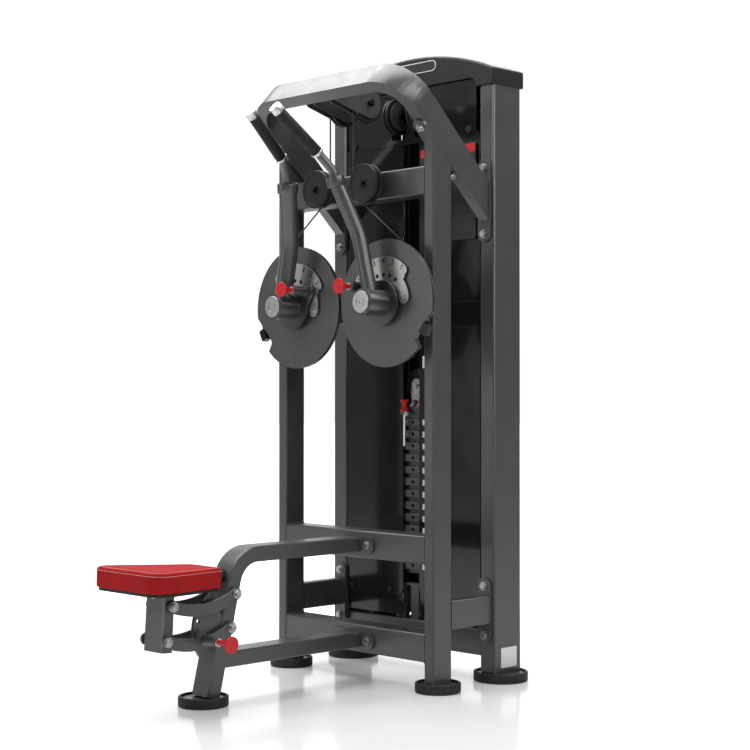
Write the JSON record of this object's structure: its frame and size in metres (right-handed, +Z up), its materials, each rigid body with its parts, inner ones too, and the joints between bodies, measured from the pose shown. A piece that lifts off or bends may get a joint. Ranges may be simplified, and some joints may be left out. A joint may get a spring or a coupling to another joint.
{
  "type": "lat pulldown machine",
  "caption": "Free-standing lever-arm lat pulldown with cam disks, swivelling grips, a cable-driven weight stack in a shrouded tower, and a seat on a parallel lift linkage.",
  "frame": {"origin": "on the floor, under the middle of the whole machine", "axes": "+Z up; -Y is the user's side, where the seat is; +X is to the right as seen from the user's side"},
  "size_m": [0.859, 1.3264, 2.042],
  "materials": {
    "powder_coat": "satin graphite powder coat",
    "cap_plastic": "satin dark grey",
    "gloss_panel": "gloss black",
    "rear_panel": "satin black",
    "placard_board": "printed matt board",
    "black_plastic": "satin black nylon",
    "black_rubber": "matt black",
    "zinc_steel": "zinc plated",
    "chromed_rod": "polished chrome",
    "stack_paint": "satin black",
    "cable_sheath": "black nylon sheath",
    "brushed_plate": "brushed",
    "aluminium": "turned satin",
    "red_plastic": "bright red moulding",
    "red_leatherette": "red leatherette"
  },
  "bodies": {
    "frame": {"front_frame": "powder_coat", "gantry_arch": "powder_coat", "tower_columns": "powder_coat", "tower_crossmembers": "powder_coat", "top_cap": "cap_plastic", "upper_panel": "gloss_panel", "front_shield": "gloss_panel", "rear_shield": "rear_panel", "placard": "placard_board", "shield_buttons": "black_plastic", "rubber_feet": "black_rubber", "frame_bolts": "zinc_steel", "guide_rods": "chromed_rod", "weight_plates": "stack_paint", "rubber_stops": "black_rubber", "pulley_axles": "zinc_steel", "pulley_brackets": "powder_coat", "drive_cables": "cable_sheath", "lift_cable": "cable_sheath", "disk_axles": "zinc_steel", "disk_bearings": "zinc_steel", "seat_frame": "powder_coat"},
    "right_disk": {"cam_disk_right": "powder_coat", "number_plate_right": "brushed_plate", "disk_fittings_right": "zinc_steel"},
    "right_arm": {"arm_right": "powder_coat", "hub_cap_right": "aluminium"},
    "right_pin": {"arm_pin_right": "red_plastic"},
    "right_handle": {"handle_right": "powder_coat", "grip_right": "black_rubber", "grip_rings_right": "aluminium"},
    "right_bar_pulley": {"bar_pulley_right": "black_plastic"},
    "right_front_head_pulley": {"front_head_pulley_right": "black_plastic"},
    "right_rear_head_pulley": {"rear_head_pulley_right": "black_plastic"},
    "left_disk": {"cam_disk_left": "powder_coat", "number_plate_left": "brushed_plate", "disk_fittings_left": "zinc_steel"},
    "left_arm": {"arm_left": "powder_coat", "hub_cap_left": "aluminium"},
    "left_pin": {"arm_pin_left": "red_plastic"},
    "left_handle": {"handle_left": "powder_coat", "grip_left": "black_rubber", "grip_rings_left": "aluminium"},
    "left_bar_pulley": {"bar_pulley_left": "black_plastic"},
    "left_front_head_pulley": {"front_head_pulley_left": "black_plastic"},
    "left_rear_head_pulley": {"rear_head_pulley_left": "black_plastic"},
    "carriage": {"top_plate": "stack_paint", "selector_rod": "chromed_rod", "carriage_bracket": "zinc_steel", "cable_loop": "cable_sheath"},
    "carriage_pulley": {"carriage_pulley": "black_plastic"},
    "selector_pin": {"selector_pin": "red_plastic"},
    "increment_pin": {"increment_pin": "red_plastic"},
    "seat_upper_link": {"seat_upper_links": "powder_coat"},
    "seat_lower_link": {"seat_lower_links": "powder_coat"},
    "seat_carrier": {"seat_carrier": "powder_coat", "carrier_bolts": "zinc_steel", "seat_board": "black_plastic", "seat_pad": "red_leatherette"},
    "seat_pin": {"seat_pin": "red_plastic"}
  },
  "joints": [
    {"name": "right_disk_turn", "type": "hinge", "parent": "frame", "child": "right_disk", "pos_m": [0.206, 0.19569, 1.203], "axis": [0, 1, 0], "range_deg": [0, 100]},
    {"name": "left_disk_turn", "type": "hinge", "parent": "frame", "child": "left_disk", "pos_m": [-0.206, 0.19569, 1.203], "axis": [0, -1, 0], "range_deg": [0, 100]},
    {"name": "right_arm_set", "type": "hinge", "parent": "right_disk", "child": "right_arm", "pos_m": [0.206, 0.13269, 1.203], "axis": [0, 1, 0], "range_deg": [0, 91]},
    {"name": "right_pull_pin", "type": "slide", "parent": "right_arm", "child": "right_pin", "axis": [0, -1, 0], "range_m": [0, 0.012], "stiffness_N_per_m": 400},
    {"name": "right_handle_swivel", "type": "hinge", "parent": "right_arm", "child": "right_handle", "pos_m": [0.1147, 0.06609, 1.563], "axis": [-0.1269, -0.1757, 0.9762], "range_deg": [-8, 90]},
    {"name": "right_bar_pulley_spin", "type": "hinge", "parent": "frame", "child": "right_bar_pulley", "pos_m": [0.111, 0.19569, 1.585], "axis": [0, -1, 0], "range_deg": [0, 340]},
    {"name": "right_front_head_pulley_spin", "type": "hinge", "parent": "frame", "child": "right_front_head_pulley", "pos_m": [0.054, 0.25269, 1.852], "axis": [1, 0, 0], "range_deg": [0, 340]},
    {"name": "right_rear_head_pulley_spin", "type": "hinge", "parent": "frame", "child": "right_rear_head_pulley", "pos_m": [0.054, 0.50369, 1.852], "axis": [1, 0, 0], "range_deg": [0, 340]},
    {"name": "left_arm_set", "type": "hinge", "parent": "left_disk", "child": "left_arm", "pos_m": [-0.206, 0.13269, 1.203], "axis": [0, -1, 0], "range_deg": [0, 91]},
    {"name": "left_pull_pin", "type": "slide", "parent": "left_arm", "child": "left_pin", "axis": [0, -1, 0], "range_m": [0, 0.012], "stiffness_N_per_m": 400},
    {"name": "left_handle_swivel", "type": "hinge", "parent": "left_arm", "child": "left_handle", "pos_m": [-0.1147, 0.06609, 1.563], "axis": [-0.1269, 0.1757, -0.9762], "range_deg": [-8, 90]},
    {"name": "left_bar_pulley_spin", "type": "hinge", "parent": "frame", "child": "left_bar_pulley", "pos_m": [-0.111, 0.19569, 1.585], "axis": [0, 1, 0], "range_deg": [0, 340]},
    {"name": "left_front_head_pulley_spin", "type": "hinge", "parent": "frame", "child": "left_front_head_pulley", "pos_m": [-0.054, 0.25269, 1.852], "axis": [1, 0, 0], "range_deg": [0, 340]},
    {"name": "left_rear_head_pulley_spin", "type": "hinge", "parent": "frame", "child": "left_rear_head_pulley", "pos_m": [-0.054, 0.50369, 1.852], "axis": [1, 0, 0], "range_deg": [0, 340]},
    {"name": "carriage_lift", "type": "slide", "parent": "frame", "child": "carriage", "axis": [0, 0, 1], "range_m": [0, 0.34], "deforming": ["lift_cable"]},
    {"name": "carriage_pulley_spin", "type": "hinge", "parent": "carriage", "child": "carriage_pulley", "pos_m": [0, 0.56069, 0.945], "axis": [0, 1, 0], "continuous": true},
    {"name": "selector_pin_pull", "type": "slide", "parent": "carriage", "child": "selector_pin", "axis": [0, -1, 0], "range_m": [0, 0.09]},
    {"name": "increment_pin_lift", "type": "slide", "parent": "carriage", "child": "increment_pin", "axis": [0, 0, 1], "range_m": [0, 0.11]},
    {"name": "seat_lift", "type": "hinge", "parent": "frame", "child": "seat_upper_link", "pos_m": [0, -0.28431, 0.327], "axis": [-1, 0, 0], "range_deg": [0, 39]},
    {"name": "seat_lower_link_turn", "type": "hinge", "parent": "frame", "child": "seat_lower_link", "pos_m": [0, -0.30431, 0.228], "axis": [-1, 0, 0], "range_deg": [0, 39]},
    {"name": "seat_level", "type": "hinge", "parent": "seat_upper_link", "child": "seat_carrier", "pos_m": [0, -0.51931, 0.309], "axis": [-1, 0, 0], "range_deg": [-39, 0]},
    {"name": "seat_pull_pin", "type": "slide", "parent": "seat_lower_link", "child": "seat_pin", "axis": [1, 0, 0], "range_m": [0, 0.012], "stiffness_N_per_m": 400}
  ],
  "couplings": [
    {"joint": "left_disk_turn", "follows": "right_disk_turn", "ratio": 1},
    {"joint": "right_bar_pulley_spin", "follows": "right_disk_turn", "ratio": 3.3333},
    {"joint": "right_front_head_pulley_spin", "follows": "right_disk_turn", "ratio": 3.3333},
    {"joint": "right_rear_head_pulley_spin", "follows": "right_disk_turn", "ratio": 3.3333},
    {"joint": "left_bar_pulley_spin", "follows": "right_disk_turn", "ratio": 3.3333},
    {"joint": "left_front_head_pulley_spin", "follows": "right_disk_turn", "ratio": 3.3333},
    {"joint": "left_rear_head_pulley_spin", "follows": "right_disk_turn", "ratio": 3.3333},
    {"joint": "carriage_lift", "follows": "right_disk_turn", "m_per_rad": 0.19},
    {"joint": "seat_lower_link_turn", "follows": "seat_lift", "ratio": 1},
    {"joint": "seat_level", "follows": "seat_lift", "ratio": -1}
  ]
}
